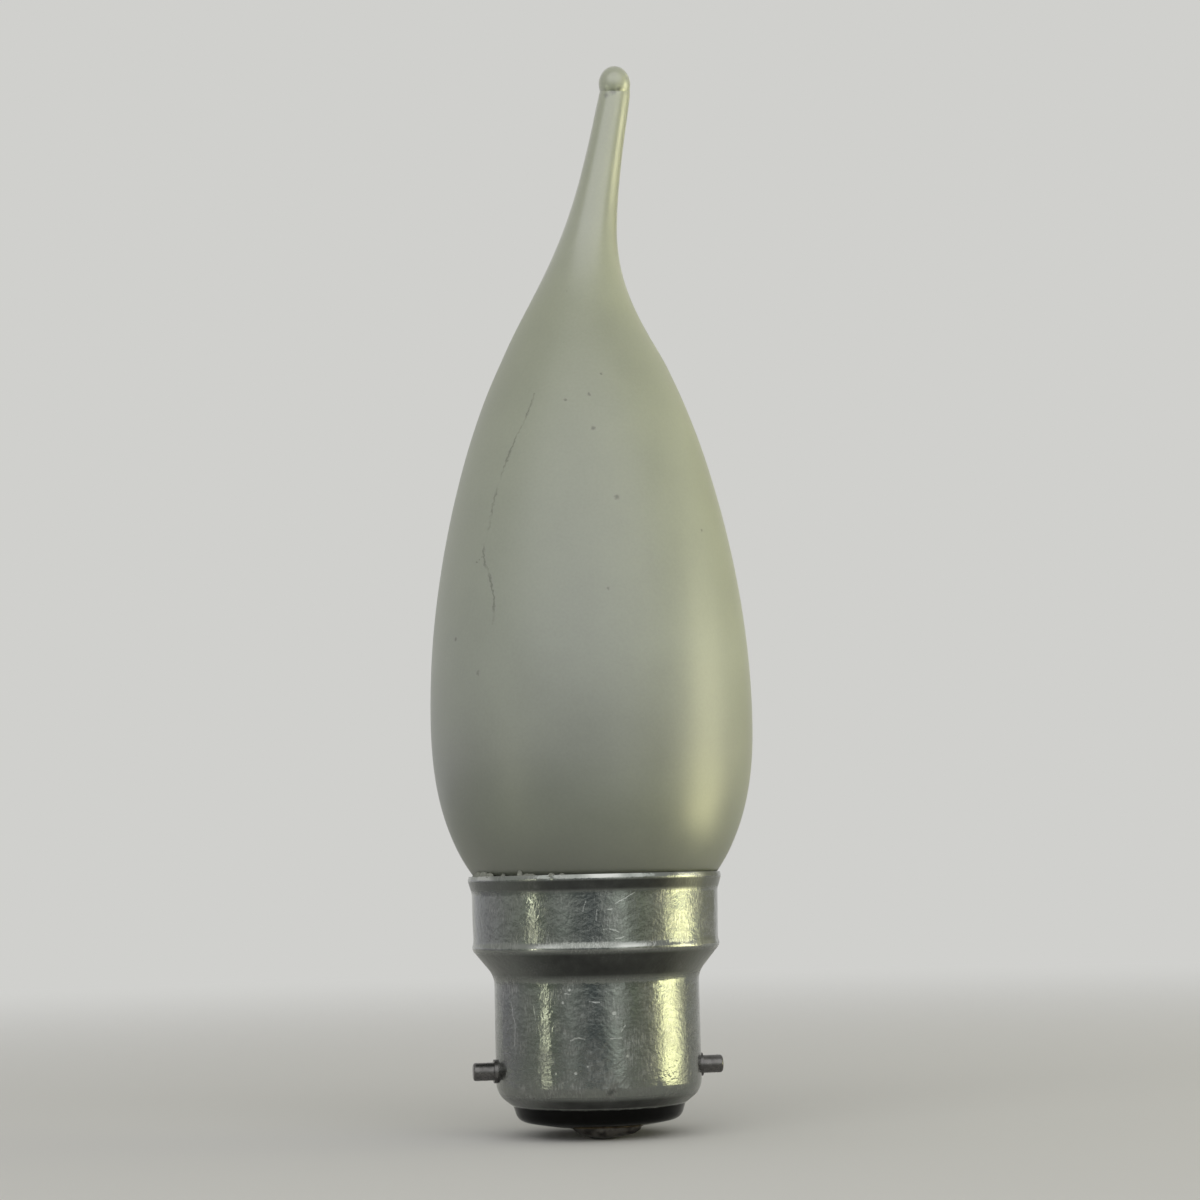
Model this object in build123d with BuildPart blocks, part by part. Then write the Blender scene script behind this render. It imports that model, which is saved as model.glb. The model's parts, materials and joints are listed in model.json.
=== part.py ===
import os
from math import sqrt

from build123d import *

# Frosted candle bulb with a bent tip, on a two-pin bayonet cap. All sizes are in millimetres.
# The origin is on the lamp's axis, level with the bayonet pins. +Z runs up to the glass tip,
# +X along the pins and towards the bend, and the two contacts lie along Y.

# Cap: one shell of thin drawn sheet, given by the outside of its wall
shell_wall = 0.25
barrel_diameter = 22.0
barrel_below_pins = 2.4
barrel_above_pins = 10.0
lip_turn = 1.68
lip_drop = 1.32
shoulder_step = 2.15
shoulder_height = 3.05
collar_height = 5.7
collar_draft = 0.12
rim_flare = 0.38
rim_height = 1.4
rim_land = 0.5
lip_bend = 2.1
shoulder_foot_bend = 2.4
collar_foot_bend = 1.0
rim_bend = 3.0
rim_land_bend = 1.5
rim_roundness = 0.4

# Bayonet pins, staked through holes in the barrel's wall
pin_diameter = 1.9
pin_reach = 2.5
pin_flange_diameter = 2.5
pin_flange_height = 0.3
pin_hole_diameter = 1.5
pin_edge = 0.25

# Insulator: black glass moulded into the barrel's end, standing out below the lip
insulator_pin_gap = 0.4
insulator_step = 0.08
insulator_drop = 1.55
insulator_taper = 0.5
insulator_edge = 1.2
insulator_dome = 1.0
lead_hole_diameter = 1.6

# Contacts: an oval plate let into the insulator on each side, under a dome of solder
contact_pitch = 9.4
contact_width = 7.8
contact_depth = 4.6
contact_thickness = 0.5
contact_drop = 0.48
contact_hole_diameter = 1.1
solder_margin = 0.1
solder_height = 1.3
solder_fullness = 0.95
solder_rings = 6

# Glass bulb as drawn out straight: diameters at heights above the mouth of the cap
neck_gap = 0.5
neck_edge = 1.2
neck_top_drop = 3.15
throat_gap = 0.22
foot_diameter = 33.0
foot_height = 7.35
glass_diameter = 35.0
glass_height = 17.75
shoulder_diameter = 28.5
shoulder_level = 41.35
taper_diameter = 18.7
taper_level = 55.35
tail_foot_diameter = 9.1
tail_foot_level = 65.35
tail_diameter = 5.5
tail_level = 72.15
slim_diameter = 4.05
slim_level = 79.35
tip_diameter = 3.36
tip_level = 88.1
tip_edge = 0.6
glass_sections = 40

# Bend of the tail, and the melted bead that sits a little off the tail's end
bend_level = 56.15
bend_radius = 76.7
bend_angle = 11.3
bead_diameter = 3.2
bead_rise = 0.53
bead_shift_x = -0.3
bead_shift_y = -0.3

# Underside of the glass stem, open inside the cap: the flare and the sealed exhaust tube
neck_wall = 3.2
flare_top_diameter = 8.4
flare_height = 11.0
exhaust_diameter = 4.0
exhaust_drop = 3.5

# Lead wires, from the stem down through the insulator into the solder
lead_diameter = 0.5
lead_straight = 4.0
lead_bend = 4.0

# Capping cement between the neck and the collar
cement_thickness = 1.1
cement_foot_gap = 1.0
cement_mouth_gap = 0.9

# Cap levels and radii that follow from these
barrel_radius = barrel_diameter / 2
collar_radius = barrel_radius + shoulder_step
rim_radius = collar_radius + collar_draft + rim_flare
lip_level = -barrel_below_pins - lip_drop
collar_foot = barrel_above_pins + shoulder_height
rim_foot = collar_foot + collar_height
rim_top = rim_foot + rim_height
mouth = rim_top + rim_land
insulator_top = -pin_flange_diameter / 2 - insulator_pin_gap
insulator_radius = barrel_radius - lip_turn - insulator_step
insulator_rim = lip_level - insulator_drop
insulator_foot = insulator_rim - insulator_dome
contact_face = insulator_rim - contact_drop
contact_y = contact_pitch / 2

# Outer form of the cap, its wall, and the space inside the wall
with BuildPart() as cap_form:
    with BuildSketch(Plane.XZ):
        with BuildLine():
            wall_line = FilletPolyline(
                (barrel_radius - lip_turn, lip_level),
                (barrel_radius, -barrel_below_pins),
                (barrel_radius, barrel_above_pins),
                (collar_radius, collar_foot),
                (collar_radius + collar_draft, rim_foot),
                (rim_radius, rim_top),
                (rim_radius, mouth),
                radius=(lip_bend, shoulder_foot_bend, collar_foot_bend, rim_bend, rim_land_bend),
            )
            Polyline(wall_line @ 1, (0, mouth), (0, lip_level), wall_line @ 0)
        make_face()
    revolve(axis=Axis.Z)

with BuildPart() as cap_wall:
    add(cap_form.part)
    offset(amount=-shell_wall, openings=cap_wall.faces().filter_by(Plane.XY))

with BuildPart() as cap_space:
    add(cap_form.part)
    add(cap_wall.part, mode=Mode.SUBTRACT)

# Shell: the wall with a rounded rim and a hole for each pin
with BuildPart() as cap_shell:
    add(cap_wall.part)
    fillet(cap_shell.edges().group_by(Axis.Z)[-1], radius=rim_roundness * shell_wall)
    Cylinder(
        radius=pin_hole_diameter / 2,
        height=2 * barrel_radius,
        rotation=(0, 90, 0),
        mode=Mode.SUBTRACT,
    )
cap_shell.part.label = "cap_shell"

# Pins: flanged against the wall inside and out, and following its curve
flange_inside = barrel_radius - shell_wall - pin_flange_height
flange_outside = barrel_radius + pin_flange_height

with BuildPart() as bayonet_pin_right:
    with BuildSketch(Plane.YZ.offset(flange_inside)):
        Circle(pin_flange_diameter / 2)
    extrude(amount=flange_outside - flange_inside)
    with BuildSketch(Plane.YZ.offset(flange_outside)):
        Circle(pin_diameter / 2)
    extrude(amount=pin_reach - pin_flange_height)
    pin_end = bayonet_pin_right.faces().sort_by(Axis.X)[-1]
    fillet(pin_end.edges(), radius=pin_edge)
    add(cap_shell.part, mode=Mode.SUBTRACT)
bayonet_pin_right.part.label = "bayonet_pin_right"

with BuildPart() as bayonet_pin_left:
    mirror(bayonet_pin_right.part, about=Plane.YZ)
bayonet_pin_left.part.label = "bayonet_pin_left"

# Glass: circles of the straight-drawn outline, strung along the bent middle line
neck_radius = collar_radius - shell_wall - cement_thickness
neck_bottom = collar_foot + neck_gap
neck_top = mouth - neck_top_drop

with BuildLine() as glass_outline:
    Spline(
        (neck_radius, neck_top),
        (rim_radius - shell_wall - throat_gap, mouth),
        (foot_diameter / 2, mouth + foot_height),
        (glass_diameter / 2, mouth + glass_height),
        (shoulder_diameter / 2, mouth + shoulder_level),
        (taper_diameter / 2, mouth + taper_level),
        (tail_foot_diameter / 2, mouth + tail_foot_level),
        (tail_diameter / 2, mouth + tail_level),
        (slim_diameter / 2, mouth + slim_level),
        (tip_diameter / 2, mouth + tip_level),
        tangents=((0, 1), (0, 1)),
    )

with BuildLine() as middle_line:
    upright = Line((0, neck_top), (0, mouth + bend_level))
    bend = JernArc(upright @ 1, upright % 1, bend_radius, -bend_angle)
    lean = tip_level - bend_level - bend.length
    Line(bend @ 1, bend @ 1 + lean * (bend % 1))
middle_wire = middle_line.wire()

with BuildPart() as glass_form:
    for section in range(glass_sections + 1):
        station = glass_outline.line @ (section / glass_sections)
        along = station.Y - neck_top
        centre = middle_wire.position_at(along, position_mode=PositionMode.LENGTH)
        heading = middle_wire.tangent_at(along, position_mode=PositionMode.LENGTH)
        across = Plane((centre.X, 0, centre.Y), x_dir=(0, 1, 0), z_dir=(heading.X, 0, heading.Y))
        with BuildSketch(across):
            Circle(station.X)
    loft()
    tip_face = glass_form.faces().sort_by(Axis.Z)[-1]
    fillet(tip_face.edges(), radius=tip_edge)
    with Locations(tip_face.center() + Vector(bead_shift_x, bead_shift_y, bead_rise)):
        Sphere(bead_diameter / 2)
    with BuildSketch(Plane.XY.offset(neck_bottom)):
        Circle(neck_radius)
    extrude(amount=neck_top - neck_bottom)
    fillet(glass_form.edges().group_by(Axis.Z)[0], radius=neck_edge)

with BuildPart() as glass_bulb:
    add(glass_form.part)
    with BuildSketch(Plane.XZ):
        Polygon(
            (0, neck_bottom),
            (neck_radius - neck_wall, neck_bottom),
            (flare_top_diameter / 2, neck_bottom + flare_height),
            (0, neck_bottom + flare_height),
            align=None,
        )
    revolve(axis=Axis.Z, mode=Mode.SUBTRACT)
    with BuildSketch(Plane.XY.offset(neck_bottom + flare_height)):
        Circle(exhaust_diameter / 2)
    extrude(amount=-flare_height - exhaust_drop)
    exhaust_end = glass_bulb.edges().group_by(Axis.Z)[0]
    fillet(exhaust_end, radius=0.45 * exhaust_diameter)
glass_bulb.part.label = "glass_bulb"

# Cement: fills the collar between the glass and the wall
with BuildPart() as capping_cement:
    add(cap_space.part)
    split(bisect_by=Plane.XY.offset(neck_bottom + cement_foot_gap), keep=Keep.TOP)
    split(bisect_by=Plane.XY.offset(mouth - cement_mouth_gap), keep=Keep.BOTTOM)
    add(glass_form.part, mode=Mode.SUBTRACT)
capping_cement.part.label = "capping_cement"

# Leads, contacts and solder, once on each side
lead_y = (exhaust_diameter + flare_top_diameter) / 4
lead_end = contact_face - solder_height / 2
solder_width = contact_width - 2 * solder_margin
solder_depth = contact_depth - 2 * solder_margin
small_pieces = []

for side_name, side in (("front", -1), ("rear", 1)):
    with BuildPart() as lead_wire:
        with BuildLine(Plane.YZ) as lead_path:
            FilletPolyline(
                (side * lead_y, neck_bottom + flare_height),
                (side * lead_y, neck_bottom),
                (side * contact_y, insulator_top + lead_straight),
                (side * contact_y, lead_end),
                radius=lead_bend,
            )
        with BuildSketch(Plane((0, side * lead_y, neck_bottom + flare_height), z_dir=(0, 0, -1))):
            Circle(lead_diameter / 2)
        sweep(path=lead_path.line)
    lead_wire.part.label = f"lead_wire_{side_name}"

    with BuildPart() as contact_plate:
        with BuildSketch(Plane.XY.offset(contact_face)):
            with Locations((0, side * contact_y)):
                Ellipse(contact_width / 2, contact_depth / 2)
                Circle(contact_hole_diameter / 2, mode=Mode.SUBTRACT)
        extrude(amount=contact_thickness)
    contact_plate.part.label = f"contact_plate_{side_name}"

    with BuildPart() as solder:
        for ring in range(solder_rings):
            rise = ring / (solder_rings - 1)
            spread = sqrt(1 - solder_fullness * rise**2)
            with BuildSketch(Plane.XY.offset(contact_face - solder_height * rise)):
                with Locations((0, side * contact_y)):
                    Ellipse(spread * solder_width / 2, spread * solder_depth / 2)
        loft()
        add(lead_wire.part, mode=Mode.SUBTRACT)
    solder.part.label = f"solder_{side_name}"
    small_pieces += [lead_wire.part, contact_plate.part, solder.part]

# Insulator: fills the barrel's end up to the pins, domed below, and takes the plates and the leads
with BuildPart() as insulator:
    add(cap_space.part)
    split(bisect_by=Plane.XY.offset(insulator_top), keep=Keep.BOTTOM)
    with BuildSketch(Plane.XZ):
        with BuildLine():
            dome_edge = (insulator_radius - insulator_taper, insulator_rim)
            TangentArc((0, insulator_foot), dome_edge, tangent=(1, 0))
            Polyline(dome_edge, (insulator_radius, lip_level), (0, lip_level), (0, insulator_foot))
        make_face()
    revolve(axis=Axis.Z)
    fillet(insulator.edges().filter_by(Plane.XY).sort_by(Axis.Z)[0], radius=insulator_edge)
    for side in (-1, 1):
        with BuildSketch(Plane.XY.offset(contact_face + contact_thickness)):
            with Locations((0, side * contact_y)):
                Ellipse(contact_width / 2, contact_depth / 2)
        extrude(amount=insulator_foot - contact_face - contact_thickness, mode=Mode.SUBTRACT)
        with BuildSketch(Plane.XY.offset(insulator_foot)):
            with Locations((0, side * contact_y)):
                Circle(lead_hole_diameter / 2)
        extrude(amount=insulator_top - insulator_foot, mode=Mode.SUBTRACT)
insulator.part.label = "insulator"

os.makedirs("parts", exist_ok=True)
large_pieces = [
    glass_bulb.part,
    capping_cement.part,
    cap_shell.part,
    bayonet_pin_left.part,
    bayonet_pin_right.part,
    insulator.part,
]
for piece in large_pieces + small_pieces:
    export_step(piece, f"parts/{piece.label}.step")
    print(piece.label, len(piece.solids()), round(piece.volume, 2))
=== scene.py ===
import json
import math
import random

import bpy
from mathutils import Matrix, Vector


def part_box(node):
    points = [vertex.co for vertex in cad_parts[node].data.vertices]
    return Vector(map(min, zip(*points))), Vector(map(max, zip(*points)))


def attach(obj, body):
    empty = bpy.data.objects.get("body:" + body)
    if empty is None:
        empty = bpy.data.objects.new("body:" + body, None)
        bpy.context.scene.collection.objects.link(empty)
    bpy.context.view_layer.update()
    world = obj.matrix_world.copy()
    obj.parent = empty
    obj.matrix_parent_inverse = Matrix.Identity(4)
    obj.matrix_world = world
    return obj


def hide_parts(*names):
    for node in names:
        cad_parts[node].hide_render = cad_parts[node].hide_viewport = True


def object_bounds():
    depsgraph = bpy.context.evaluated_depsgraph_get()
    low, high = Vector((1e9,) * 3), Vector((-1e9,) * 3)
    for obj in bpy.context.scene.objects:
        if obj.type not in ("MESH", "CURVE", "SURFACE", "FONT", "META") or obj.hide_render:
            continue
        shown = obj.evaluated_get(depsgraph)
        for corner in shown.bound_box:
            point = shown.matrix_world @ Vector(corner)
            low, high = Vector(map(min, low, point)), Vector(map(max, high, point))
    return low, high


# Frosted candle bulb on a bayonet cap, dressed over the CAD frame. Lengths are in millimetres, times mm.
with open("model.json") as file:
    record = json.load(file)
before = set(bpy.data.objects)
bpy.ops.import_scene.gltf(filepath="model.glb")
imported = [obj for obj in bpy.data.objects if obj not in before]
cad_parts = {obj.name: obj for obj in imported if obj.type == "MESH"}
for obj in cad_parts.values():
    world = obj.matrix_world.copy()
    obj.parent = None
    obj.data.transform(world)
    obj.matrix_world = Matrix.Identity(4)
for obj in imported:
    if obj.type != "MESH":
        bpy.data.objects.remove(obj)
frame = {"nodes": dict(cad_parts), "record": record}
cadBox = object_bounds()
nodes = frame["nodes"]
scene = bpy.context.scene
mm = 0.001


def deselectAll():
    if bpy.context.mode != "OBJECT":
        bpy.ops.object.mode_set(mode="OBJECT")
    bpy.ops.object.select_all(action="DESELECT")


def onlySelect(piece):
    deselectAll()
    piece.select_set(True)
    bpy.context.view_layer.objects.active = piece


def applyModifier(piece, kind, **settings):
    onlySelect(piece)
    modifier = piece.modifiers.new(kind.lower(), kind)
    for name, value in settings.items():
        setattr(modifier, name, value)
    bpy.ops.object.modifier_apply(modifier=modifier.name)


def displaceByClouds(piece, name, size, strength, midLevel=0.5):
    clouds = bpy.data.textures.new(name, "CLOUDS")
    clouds.noise_scale = size * mm
    applyModifier(piece, "DISPLACE", texture=clouds, texture_coords="GLOBAL", strength=strength * mm,
                  mid_level=midLevel)


def placeInMesh(piece, name):
    onlySelect(piece)
    bpy.ops.object.transform_apply(location=True, rotation=True, scale=True)
    piece.name = name
    piece.data.name = name


def hexColour(code):
    channels = [int(code[i : i + 2], 16) / 255 for i in (1, 3, 5)]
    return [c / 12.92 if c <= 0.04045 else ((c + 0.055) / 1.055) ** 2.4 for c in channels] + [1.0]


def perSize(size):
    return 1 / (size * mm)  # a pattern's scale, from a real size in millimetres


def feed(tree, node, inputs):
    # a node is linked by its first output in use, a plain value is set, a From or To pair fills a range
    for name, value in inputs.items():
        if name in ("From", "To"):
            feed(tree, node, {name + " Min": value[0], name + " Max": value[1]})
        elif isinstance(value, bpy.types.Node):
            feed(tree, node, {name: next(socket for socket in value.outputs if socket.enabled)})
        elif isinstance(value, bpy.types.NodeSocket):
            tree.links.new(value, node.inputs[name])
        else:
            node.inputs[name].default_value = value


def addNode(tree, kind, inputs=None, **settings):
    node = tree.nodes.new("ShaderNode" + kind)
    for name, value in settings.items():
        setattr(node, name, value)
    feed(tree, node, inputs or {})
    return node


def emptyTree(owner):
    owner.use_nodes = True
    owner.node_tree.nodes.clear()
    return owner.node_tree


def newMaterial(name):
    material = bpy.data.materials.new(name)
    tree = emptyTree(material)
    shader = addNode(tree, "BsdfPrincipled")
    addNode(tree, "OutputMaterial", {"Surface": shader})
    coords = addNode(tree, "TexCoord").outputs["Object"]
    return material, tree, shader, coords


def rampStops(ramp, stops):
    elements = ramp.color_ramp.elements
    while len(elements) < len(stops):
        elements.new(0.5)
    for element, (position, code) in zip(elements, stops):
        element.position = position
        element.color = hexColour(code)


def rampAlong(tree, value, stops, unit):
    # colours laid along a value, such as a level in millimetres, from the first stop to the last
    low, high = stops[0][0], stops[-1][0]
    share = addNode(tree, "MapRange", {"Value": value, "From": (low * unit, high * unit)})
    ramp = addNode(tree, "ValToRGB", {"Fac": share})
    rampStops(ramp, [((place - low) / (high - low), code) for place, code in stops])
    return ramp


# Camera at the photo's viewing angle: level with the mouth of the cap, looking a little up, rolled a little
camera = {
    "yaw": 9.0, "pitch": 6.13, "roll": 1.36,  # degrees
    "distance": 276.0, "aside": 1.33, "height": 20.75,  # mm, from the lamp's axis at the pins
    "lens": 76.2, "sensor": 36.0, "clipStart": 10.0,
}
yaw, pitch, roll = (math.radians(camera[k]) for k in ("yaw", "pitch", "roll"))
level = Vector((math.sin(yaw), math.cos(yaw), 0))
right = Vector((math.cos(yaw), -math.sin(yaw), 0))
forward = level * math.cos(pitch) + Vector((0, 0, math.sin(pitch)))
upward = -level * math.sin(pitch) + Vector((0, 0, math.cos(pitch)))
cameraX = right * math.cos(roll) - upward * math.sin(roll)
cameraY = right * math.sin(roll) + upward * math.cos(roll)
cameraPlace = -level * camera["distance"] + right * camera["aside"] + Vector((0, 0, camera["height"]))
cameraTurn = Matrix((cameraX, cameraY, -forward)).transposed()
deselectAll()
bpy.ops.object.camera_add()
cameraObject = bpy.context.object
cameraObject.matrix_world = Matrix.Translation(cameraPlace * mm) @ cameraTurn.to_4x4()
cameraObject.data.lens = camera["lens"]
cameraObject.data.sensor_width = camera["sensor"]
cameraObject.data.clip_start = camera["clipStart"] * mm
scene.camera = cameraObject
print("camera set")


# Glass envelope: rings drawn up the middle line, eased onto the CAD glass, closed at the tip and the neck
glass = {
    "segments": 32, "smoothing": 2,
    "neckRadius": 11.8, "neckBottom": 13.55, "neckStep": 1.9,
    "outline": ((-3.15, 11.8), (0.0, 13.2), (7.35, 16.5), (17.75, 17.5), (29.45, 16.6), (41.35, 14.2),
                (55.35, 9.3), (65.35, 4.5), (72.15, 2.7), (79.35, 2.1), (83.2, 1.9),
                (87.0, 1.75)),  # height above the mouth, radius
    "ringStep": 0.4, "ringShare": 0.14,  # rings stand closer where the glass is slimmer
    "bendLevel": 56.15, "bendRadius": 76.7, "bendAngle": 11.3,
    "domeRings": ((0.55, 0.9), (0.9, 0.6), (1.1, 0.25)),  # above the last ring, as shares of its radius
    "easing": 0.5, "easingRounds": 10,  # takes the facets of the CAD mesh out again
    "ripple": 0.05, "rippleSize": 11.0,  # slow waves of blown glass
    "freeFrom": 77.0, "freeTo": 84.0,  # the tail's last stretch is melted freely into the bead
    "tipLevel": 88.1, "beadRadius": 1.76, "beadStretch": 1.16, "beadSegments": 64, "beadRings": 40,
    "beadShift": (-0.26, -0.3, 0.04),  # slumped to the front left
    "askew": 0.25, "askewLevel": 60.6,  # the glass was cemented in a touch aslant
    "creaseAngle": 22,
}
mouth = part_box("cap_shell")[1].z / mm


def glassRadius(height):
    for (h0, r0), (h1, r1) in zip(glass["outline"], glass["outline"][1:]):
        if height <= h1:
            return r0 + (r1 - r0) * (height - h0) / (h1 - h0)
    return glass["outline"][-1][1]


def middlePoint(height):
    # centre of the ring and its lean, at this height along the middle line
    over = max(0.0, height - glass["bendLevel"])
    lean = min(over / glass["bendRadius"], math.radians(glass["bendAngle"]))
    straight = over - lean * glass["bendRadius"]
    x = glass["bendRadius"] * (1 - math.cos(lean)) + straight * math.sin(lean)
    z = min(height, glass["bendLevel"]) + glass["bendRadius"] * math.sin(lean) + straight * math.cos(lean)
    return Vector((x, 0, mouth + z)), lean


def drawRing(move, scale, turn, centre):
    bpy.ops.mesh.extrude_region_move(TRANSFORM_OT_translate={"value": move * mm})
    bpy.ops.transform.resize(value=(scale, scale, scale), center_override=centre * mm)
    if abs(turn) > 1e-6:
        bpy.ops.transform.rotate(value=-turn, orient_axis="Y", center_override=centre * mm)


def makeGlass():
    deselectAll()
    start = Vector((0, 0, glass["neckBottom"]))
    bpy.ops.mesh.primitive_circle_add(vertices=glass["segments"], radius=glass["neckRadius"] * mm,
                                      location=start * mm)
    piece = bpy.context.object
    bpy.ops.object.mode_set(mode="EDIT")
    bpy.ops.mesh.select_all(action="SELECT")
    heights = [glass["outline"][0][0] - glass["neckStep"], glass["outline"][0][0]]
    while heights[-1] < glass["outline"][-1][0]:
        heights.append(heights[-1] + glass["ringStep"] + glass["ringShare"] * glassRadius(heights[-1]))
    centre, radius, lean = start, glass["neckRadius"], 0.0
    for height in heights:
        nextCentre, nextLean = middlePoint(height)
        nextRadius = glassRadius(max(height, glass["outline"][0][0]))
        drawRing(nextCentre - centre, nextRadius / radius, nextLean - lean, nextCentre)
        centre, radius, lean = nextCentre, nextRadius, nextLean
    base, baseRadius = centre, radius
    along = Vector((math.sin(lean), 0, math.cos(lean)))
    for rise, share in glass["domeRings"]:
        nextCentre = base + along * rise * baseRadius
        drawRing(nextCentre - centre, share * baseRadius / radius, 0.0, nextCentre)
        centre, radius = nextCentre, share * baseRadius
    bpy.ops.mesh.merge(type="CENTER")  # the pole of the tip
    bpy.ops.object.mode_set(mode="OBJECT")
    placeInMesh(piece, "glass_envelope")
    applyModifier(piece, "SUBSURF", levels=glass["smoothing"], render_levels=glass["smoothing"])
    wrapped = piece.vertex_groups.new(name="wrapped")
    for vertex in piece.data.vertices:
        share = (glass["freeTo"] + mouth - vertex.co.z / mm) / (glass["freeTo"] - glass["freeFrom"])
        wrapped.add([vertex.index], min(max(share, 0.0), 1.0), "REPLACE")
    applyModifier(piece, "SHRINKWRAP", target=nodes["glass_bulb"], wrap_method="NEAREST_SURFACEPOINT",
                  vertex_group="wrapped")
    applyModifier(piece, "SMOOTH", factor=glass["easing"], iterations=glass["easingRounds"])
    displaceByClouds(piece, "blown waves", glass["rippleSize"], glass["ripple"])
    bpy.ops.object.mode_set(mode="EDIT")
    bpy.ops.mesh.select_all(action="DESELECT")
    bpy.ops.mesh.select_mode(type="EDGE")
    bpy.ops.mesh.select_non_manifold(extend=False)
    bpy.ops.mesh.edge_face_add()  # closes the neck, inside the cap
    bpy.ops.mesh.select_all(action="SELECT")
    bpy.ops.mesh.normals_make_consistent(inside=False)
    bpy.ops.object.mode_set(mode="OBJECT")
    bead = makeBead()
    applyModifier(piece, "BOOLEAN", object=bead, operation="UNION", solver="EXACT")
    bpy.data.objects.remove(bead)
    onlySelect(piece)
    bpy.ops.object.mode_set(mode="EDIT")
    bpy.ops.mesh.select_all(action="SELECT")
    bpy.ops.transform.rotate(value=math.radians(glass["askew"]), orient_axis="Y",
                             center_override=(0, 0, glass["askewLevel"] * mm))
    bpy.ops.object.mode_set(mode="OBJECT")
    bpy.ops.object.shade_smooth_by_angle(angle=math.radians(glass["creaseAngle"]))
    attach(piece, "root")
    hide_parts("glass_bulb")
    print("glass envelope:", len(piece.data.polygons), "faces")
    return piece


def makeBead():
    deselectAll()
    tip = middlePoint(glass["tipLevel"])[0]
    place = tip + Vector(glass["beadShift"])
    bpy.ops.mesh.primitive_uv_sphere_add(segments=glass["beadSegments"], ring_count=glass["beadRings"],
                                         radius=glass["beadRadius"] * mm, location=place * mm)
    bead = bpy.context.object
    bpy.ops.object.mode_set(mode="EDIT")
    bpy.ops.transform.resize(value=(1.0, 1.0, glass["beadStretch"]), center_override=place * mm)
    bpy.ops.object.mode_set(mode="OBJECT")
    placeInMesh(bead, "bead")
    return bead


glassEnvelope = makeGlass()


# Cap: one drawn sheet, rings up its profile, bends rounded, then given the sheet's thickness
cap = {
    "segments": 176, "sheet": 0.25, "edge": 0.09, "edgeSegments": 2, "edgeAngle": 60,
    "profile": ((9.32, -3.72, 0), (9.75, -3.38, 0), (11.0, -2.4, 1.0), (11.0, -1.3, 0), (11.0, -0.5, 0),
                (11.0, 1.0, 0), (11.0, 3.0, 0), (11.0, 5.0, 0), (11.0, 7.0, 0), (11.0, 8.5, 0),
                (11.0, 10.0, 0.76), (13.2, 12.7, 0.16), (13.33, 13.05, 0.15), (13.17, 13.6, 0.2),
                (13.2, 15.0, 0), (13.24, 16.8, 0), (13.27, 18.85, 0.3), (13.58, 19.9, 0.12),
                (13.68, 20.2, 0.14), (13.56, 20.65, 0)),  # radius, level, length of the rounding at that bend
    "bendSegments": 5, "ringSlack": 0.02,
    "wobble": 0.05, "wobbleSize": 5.0,  # the rolled collar isn't quite round
    "dents": ((-90.2, -2.0, 0.75, 0.2), (-119.0, 20.3, 0.5, 0.12),
              (-64.0, -2.0, 0.9, 0.08)),  # degrees, level, spread, depth
    "pressSteps": (1.0, 0.75, 0.5, 0.3),  # a dent is pressed in on smaller and smaller patches
    "creaseAngle": 50,
}


def makeCap():
    deselectAll()
    radius, level = cap["profile"][0][:2]
    place = Vector((0, 0, level))
    bpy.ops.mesh.primitive_circle_add(vertices=cap["segments"], radius=radius * mm, location=place * mm)
    piece = bpy.context.object
    bpy.ops.object.mode_set(mode="EDIT")
    bpy.ops.mesh.select_all(action="SELECT")
    for nextRadius, nextLevel, bend in cap["profile"][1:]:
        nextPlace = Vector((0, 0, nextLevel))
        drawRing(nextPlace - place, nextRadius / radius, 0.0, nextPlace)
        place, radius = nextPlace, nextRadius
    bpy.ops.object.mode_set(mode="OBJECT")
    placeInMesh(piece, "cap_sheet")
    for radius, level, bend in cap["profile"]:
        if bend:
            bevelRing(piece, radius, level, bend)
    applyModifier(piece, "SUBSURF", subdivision_type="SIMPLE", levels=1, render_levels=1)
    displaceByClouds(piece, "sheet wobble", cap["wobbleSize"], cap["wobble"])
    for angle, level, spread, depth in cap["dents"]:
        outward = Vector((math.cos(math.radians(angle)), math.sin(math.radians(angle)), 0))
        pressIn(piece, Vector((0, 0, level)), outward, spread, depth)
    bpy.ops.object.mode_set(mode="EDIT")
    bpy.ops.mesh.select_all(action="SELECT")
    bpy.ops.mesh.normals_make_consistent(inside=False)
    bpy.ops.object.mode_set(mode="OBJECT")
    applyModifier(piece, "SOLIDIFY", thickness=cap["sheet"] * mm, offset=-1.0, use_even_offset=True)
    applyModifier(piece, "BEVEL", width=cap["edge"] * mm, segments=cap["edgeSegments"],
                  limit_method="ANGLE", angle_limit=math.radians(cap["edgeAngle"]))
    bpy.ops.object.shade_smooth_by_angle(angle=math.radians(cap["creaseAngle"]))
    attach(piece, "root")
    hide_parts("cap_shell")
    print("cap sheet:", len(piece.data.polygons), "faces")
    return piece


def bevelRing(piece, radius, level, width):
    onlySelect(piece)
    bpy.ops.object.mode_set(mode="EDIT")
    bpy.ops.mesh.select_mode(type="EDGE")
    bpy.ops.mesh.select_all(action="DESELECT")
    bpy.ops.object.mode_set(mode="OBJECT")
    slack = cap["ringSlack"]
    for edge in piece.data.edges:
        ends = [piece.data.vertices[i].co / mm for i in edge.vertices]
        edge.select = all(abs(p.z - level) < slack and abs(p.xy.length - radius) < slack for p in ends)
    bpy.ops.object.mode_set(mode="EDIT")
    bpy.ops.mesh.bevel(offset=width * mm, segments=cap["bendSegments"], affect="EDGES")
    bpy.ops.object.mode_set(mode="OBJECT")


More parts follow.
